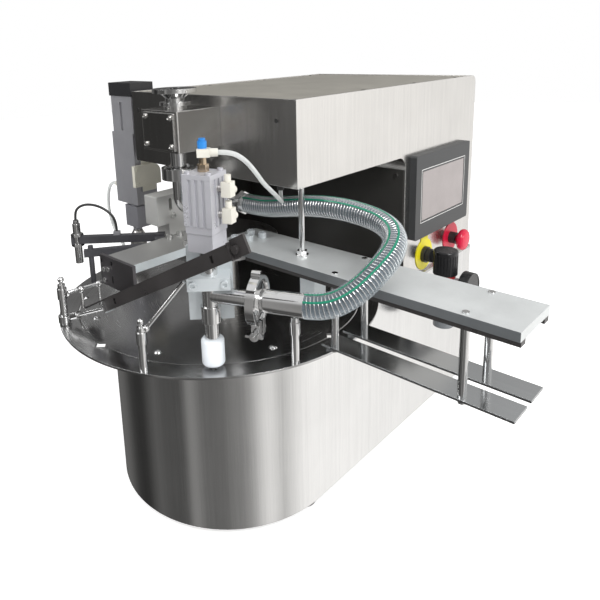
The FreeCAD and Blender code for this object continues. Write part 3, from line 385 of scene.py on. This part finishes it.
def newPiece(name, mesh, finishName, body="machine_base", replaced=(), smoothAngle=35):
    bmesh.ops.remove_doubles(mesh, verts=mesh.verts, dist=1e-6)
    bmesh.ops.recalc_face_normals(mesh, faces=mesh.faces)
    data = bpy.data.meshes.new(name)
    mesh.to_mesh(data)
    mesh.free()
    for polygon in data.polygons:
        polygon.use_smooth = True
    data.set_sharp_from_angle(angle=math.radians(smoothAngle))
    data.materials.append(finishes[finishName])
    piece = bpy.data.objects.new(name, data)
    bpy.context.scene.collection.objects.link(piece)
    if body is None:
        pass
    else:
        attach(piece, body)
    if replaced:
        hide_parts(*replaced)
    return piece


def turnedShape(mesh, outline, centre, axis, steps):
    # outline is (radius, height) pairs in millimetres, spun about the axis through the centre
    chain = [mesh.verts.new((radius / 1000, 0, height / 1000)) for radius, height in outline]
    edges = [mesh.edges.new(pair) for pair in zip(chain, chain[1:])]
    bmesh.ops.spin(mesh, geom=chain + edges, cent=(0, 0, 0), axis=(0, 0, 1), angle=math.tau, steps=steps,
                   use_merge=True)
    turn = Vector((0, 0, 1)).rotation_difference(Vector(axis)).to_matrix().to_4x4()
    fresh = [v for v in mesh.verts if not v.tag]
    bmesh.ops.transform(mesh, matrix=Matrix.Translation(at(*centre)) @ turn, verts=fresh)
    for v in mesh.verts:
        v.tag = True


def boxShape(mesh, low, high, rounding):
    low, high = at(*low), at(*high)
    corners = bmesh.ops.create_cube(mesh, size=1.0)["verts"]
    bmesh.ops.scale(mesh, vec=high - low, verts=corners)
    bmesh.ops.translate(mesh, vec=(low + high) / 2, verts=corners)
    edges = list(dict.fromkeys(e for v in corners for e in v.link_edges))
    bmesh.ops.bevel(mesh, geom=edges, offset=rounding / 1000, offset_type="OFFSET", segments=2,
                    profile=0.5, affect="EDGES", material=-1, clamp_overlap=True)
    for v in mesh.verts:
        v.tag = True


floor = {"radius": 6.0, "sides": 96, "tones": (0.93, 0.96), "glow": 0.55}
floorBase, floorPlace = newMaterial("paleFloor")
floorTone = floorPlace.noise((3, 3, 3), 2.0).blend(*map(grey, floor["tones"]))
applySurface(floorBase, Base_Color=floorTone, Roughness=0.8, Emission_Color=grey(1.0),
             Emission_Strength=floor["glow"])
floorMesh = bmesh.new()
bmesh.ops.create_circle(floorMesh, cap_ends=True, segments=floor["sides"], radius=floor["radius"])
newPiece("floor", floorMesh, "paleFloor", None).visible_glossy = False
print("studio made")


# black panels that paint the shade in the recess, feet and controls

# the black panels on the column front and on the wing's inner face, with their screws, are painted shade: a
# dark sheet set where the recess under the overhang is only in shade
shadePanels = {
    "column": ((-178.6, 256.6, 286), (178.6, 258.7, 480)), "wing": ((-178.7, 178.5, 286), (-176.6, 256, 501)),
    "rounding": 0.8, "screw": [(0, 1.6), (2, 2.4), (3.4, 2.0), (4, 0.8), (4, 0)],
    "screwSpots": [(x, 256.7, z) for x in (-165, -55, 55, 165) for z in (300, 470)]}
shadePanelMesh = bmesh.new()
boxShape(shadePanelMesh, *shadePanels["column"], shadePanels["rounding"])
boxShape(shadePanelMesh, *shadePanels["wing"], shadePanels["rounding"])
for spot in shadePanels["screwSpots"]:
    turnedShape(shadePanelMesh, shadePanels["screw"], spot, (0, -1, 0), 20)
newPiece("paintedShadePanels", shadePanelMesh, "paintedShadeBlack")

foot = {
    "spots": [(x, y, 0) for x in (-160, 160) for y in (8, 470)],
    "outline": [(0, 0), (19, 0), (20, 1), (20, 3.5), (17, 5.6), (10, 7.6), (10, 8), (7.5, 8.1), (7.5, 11.4),
                (6.9, 12), (0, 12)]}
footMesh = bmesh.new()
for spot in foot["spots"]:
    turnedShape(footMesh, foot["outline"], spot, (0, 0, 1), 40)
newPiece("levellingFeet", footMesh, "footFinish", "machine_base", ("levelling_feet",))

stopButton = {
    "centre": (186, 431, 320),
    "outline": [(0, 0), (6, 0), (6, 15.6), (15, 15.6), (18.4, 16.4), (19.8, 18.6), (20, 21), (19.6, 23.6),
                (18, 25.8), (16.6, 26.5), (16.2, 26.2), (15.6, 26.2), (15.2, 26.9), (11, 28), (5, 28.4),
                (0, 28.5)]}
stopMesh = bmesh.new()
turnedShape(stopMesh, stopButton["outline"], stopButton["centre"], (1, 0, 0), 64)
newPiece("stopButtonHead", stopMesh, "redGloss", "stop_button", ("stop_button",))

# every fourth tick is a long one, which starts nearer to the centre
dial = {"centre": (276.2, 304, 284), "ticks": 25, "sweep": 270, "inner": 18.5, "longInner": 15.5,
        "outer": 22.5, "width": 0.9, "thickness": 0.4}
dialMesh = bmesh.new()
for index in range(dial["ticks"]):
    reach = dial["outer"] - (dial["inner"] if index % 4 else dial["longInner"])
    corners = bmesh.ops.create_cube(dialMesh, size=1.0)["verts"]
    bmesh.ops.scale(dialMesh, vec=Vector((dial["thickness"], dial["width"], reach)) / 1000, verts=corners)
    bmesh.ops.translate(dialMesh, vec=(0, 0, (dial["outer"] - reach / 2) / 1000), verts=corners)
    angle = dial["sweep"] * (index / (dial["ticks"] - 1) - 0.5)
    spin = Matrix.Rotation(math.radians(angle), 4, "X")
    bmesh.ops.transform(dialMesh, matrix=Matrix.Translation(at(*dial["centre"])) @ spin, verts=corners)
newPiece("gaugeTicks", dialMesh, "whiteAcetal")

gripLine = {"low": (209.05, 328.3, 316), "high": (209.5, 329.7, 325), "rounding": 0.15}
gripMesh = bmesh.new()
boxShape(gripMesh, gripLine["low"], gripLine["high"], gripLine["rounding"])
newPiece("selectorLine", gripMesh, "whiteAcetal", "selector_knob")
print("liners, feet and controls made")


# feed hose, air tubes and cable

nozzle = {"axis": (156.98, -156.98), "portHeight": 397, "portAngle": math.radians(24)}


def portPoint(reach):
    # on the axis of the nozzle's side port, this far from the nozzle's own axis
    x, y = nozzle["axis"]
    return (round(x + reach * math.cos(nozzle["portAngle"]), 2),
            round(y + reach * math.sin(nozzle["portAngle"]), 2), nozzle["portHeight"])


def sensorPoint(radius, height):
    # on the line from the turntable axis out to the sensor
    sideways = round(-radius * math.sqrt(0.5), 2)
    return (sideways, sideways, height)


hose = {
    "node": "feed_hose", "finish": "clearHose", "stiffness": "stiff", "diameter": 31,
    "liner": 24.6, "wire": 1.7, "wireDepth": 1.3, "pitch": 4.4, "sides": 14,
    "stripes": (-1.4, -0.68), "stripeWidth": 2.6, "stripeDepth": 0.2, "stripeThickness": 0.3, "stripeStep": 4,
    "route": [portPoint(119), portPoint(143), (307, -75, 409), (319, -45, 429.5), (319, -10, 444),
              (307, 18, 455), (281, 33, 464), (245, 36, 469), (206, 34, 471), (166, 31.5, 468),
              (125, 28, 461), (84, 24, 453), (44, 24, 453)]}
airLoop = {
    "node": "air_loop", "finish": "tubeWhite", "stiffness": "medium", "diameter": 6,
    "route": [(-274, -3, 446), (-287, -3, 446), (-300, -3, 438), (-308, -3, 421), (-310, -4, 402),
              (-307, -5, 384), (-298, -7, 367), (-285, -9, 353), (-270, -11, 342), (-256, -13, 333),
              (-246, -14, 321), (-246, -14, 308)]}
airTube = {
    "node": "air_tube", "finish": "clearTube", "stiffness": "medium", "diameter": 6,
    "route": [(167.4, -143, 571), (178.5, -133, 571), (184, -118, 561), (182, -102, 547), (176, -86, 533.5),
              (169.5, -70, 520), (163, -51, 507), (156, -33, 495), (149.5, -18, 485), (142.5, -6, 478),
              (135, 2, 476), (130, 6, 481), (130, 6, 491)]}
sensorCable = {
    "node": "sensor_cable", "finish": "cableBlack", "stiffness": "medium", "diameter": 4,
    "route": [sensorPoint(radius, height) for radius, height in (
        (222, 432), (222, 443), (216.4, 453), (202.3, 457.5), (184.7, 454), (169.4, 444), (159, 430),
        (159, 412))]}


def linkCurve(name, data, radius, resolution, kind, points, finishName):
    # a curve of this kind through the points, as a solid wire of this radius
    data.dimensions = "3D"
    data.bevel_depth, data.bevel_resolution = radius, resolution
    data.use_fill_caps = True
    spline = data.splines.new(kind)
    spline.points.add(len(points) - 1)
    for point, place in zip(spline.points, points):
        point.co = (*place, 1.0)
    if finishName:
        data.materials.append(finishes[finishName])
    curve = bpy.data.objects.new(name, data)
    bpy.context.scene.collection.objects.link(curve)
    return curve, spline


def routeCurve(name, route, diameter, finishName=None):
    data = bpy.data.curves.new(name, "CURVE")
    data.resolution_u = 16
    points = [at(*spot) for spot in route]
    curve, spline = linkCurve(name, data, diameter / 2000, 5, "NURBS", points, finishName)
    spline.order_u = 3
    spline.use_endpoint_u = True
    return curve


def routeFrames(route):
    # points along the route's smooth line, each with two directions square to it that hardly turn
    bare = routeCurve("bareRoute", route, 0)
    line = bpy.data.meshes.new_from_object(bare)
    points = [v.co.copy() for v in line.vertices]
    bpy.data.objects.remove(bare)
    bpy.data.meshes.remove(line)
    ways = [(b - a).normalized() for a, b in zip(points, points[1:])]
    ways.append(ways[-1])
    side = ways[0].cross(Vector((0, 0, 1))).normalized()
    frames, previous = [], ways[0]
    for point, way in zip(points, ways):
        side = (previous.rotation_difference(way) @ side).normalized()
        frames.append((point, side, way.cross(side).normalized()))
        previous = way
    return frames


def alongFrames(frames, step):
    # the frames again at even distances
    result, covered, wanted = [], 0.0, 0.0
    for first, second in zip(frames, frames[1:]):
        length = (second[0] - first[0]).length
        while wanted <= covered + length and length > 0:
            share = (wanted - covered) / length
            result.append(tuple(a.lerp(b, share) for a, b in zip(first, second)))
            wanted += step
        covered += length
    return result


def rimPoint(routeFrame, angle, radius):
    point, side, up = routeFrame
    return point + (side * math.cos(angle) + up * math.sin(angle)) * radius


def coil(name, frames, facts):
    # the wire wound into the hose wall
    radius = (facts["diameter"] / 2 - facts["wireDepth"]) / 1000
    steps = alongFrames(frames, facts["pitch"] / 1000 / facts["sides"])
    points = [rimPoint(step, math.tau * index / facts["sides"], radius) for index, step in enumerate(steps)]
    data = bpy.data.curves.new(name, "CURVE")
    return linkCurve(name, data, facts["wire"] / 2000, 1, "POLY", points, "polishedSteel")[0]


def stripe(name, frames, angle, facts):
    # a thin strip on the hose wall, drawn out along the frames
    mesh = bmesh.new()
    radius = (facts["diameter"] / 2 - facts["stripeDepth"]) / 1000
    spread = facts["stripeWidth"] / 1000 / radius
    across = [angle + spread * (i / 4 - 0.5) for i in range(5)]
    row = [mesh.verts.new(rimPoint(frames[0], a, radius)) for a in across]
    edges = [mesh.edges.new(pair) for pair in zip(row, row[1:])]
    for routeFrame in frames[1:]:
        grown = bmesh.ops.extrude_edge_only(mesh, edges=edges)["geom"]
        edges = [e for e in grown if isinstance(e, bmesh.types.BMEdge)]
        row = [v for v in grown if isinstance(v, bmesh.types.BMVert)]
        for v, a in zip(row, across):
            v.co = rimPoint(routeFrame, a, radius)
    bmesh.ops.solidify(mesh, geom=mesh.faces, thickness=facts["stripeThickness"] / 1000)
    return newPiece(name, mesh, "greenStripe", smoothAngle=60)


def declareCord(curve, facts):
    points = [routeFrame[0] for routeFrame in routeFrames(facts["route"])]
    length = sum((b - a).length for a, b in zip(points, points[1:]))
    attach(curve, "machine_base")
    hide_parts(facts["node"])
    tuple(at(*facts["route"][0]))
    facts["diameter"] / 1000
    print(curve.name, "length %.3f m" % length)


hoseCurve = routeCurve("feedHose", hose["route"], hose["diameter"], hose["finish"])
hoseFrames = routeFrames(hose["route"])
stripeFrames = alongFrames(hoseFrames, hose["stripeStep"] / 1000)
hoseParts = [routeCurve("hoseLiner", hose["route"], hose["liner"], "milkyLiner"),
             coil("hoseSpiral", hoseFrames, hose)]
hoseParts += [stripe("hoseStripe%d" % (number + 1), stripeFrames, angle, hose)
              for number, angle in enumerate(hose["stripes"])]
for piece in hoseParts:
    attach(piece, "machine_base")
declareCord(hoseCurve, hose)
for name, facts in (("airLoop", airLoop), ("airTube", airTube), ("sensorCable", sensorCable)):
    declareCord(routeCurve(name, facts["route"], facts["diameter"], facts["finish"]), facts)
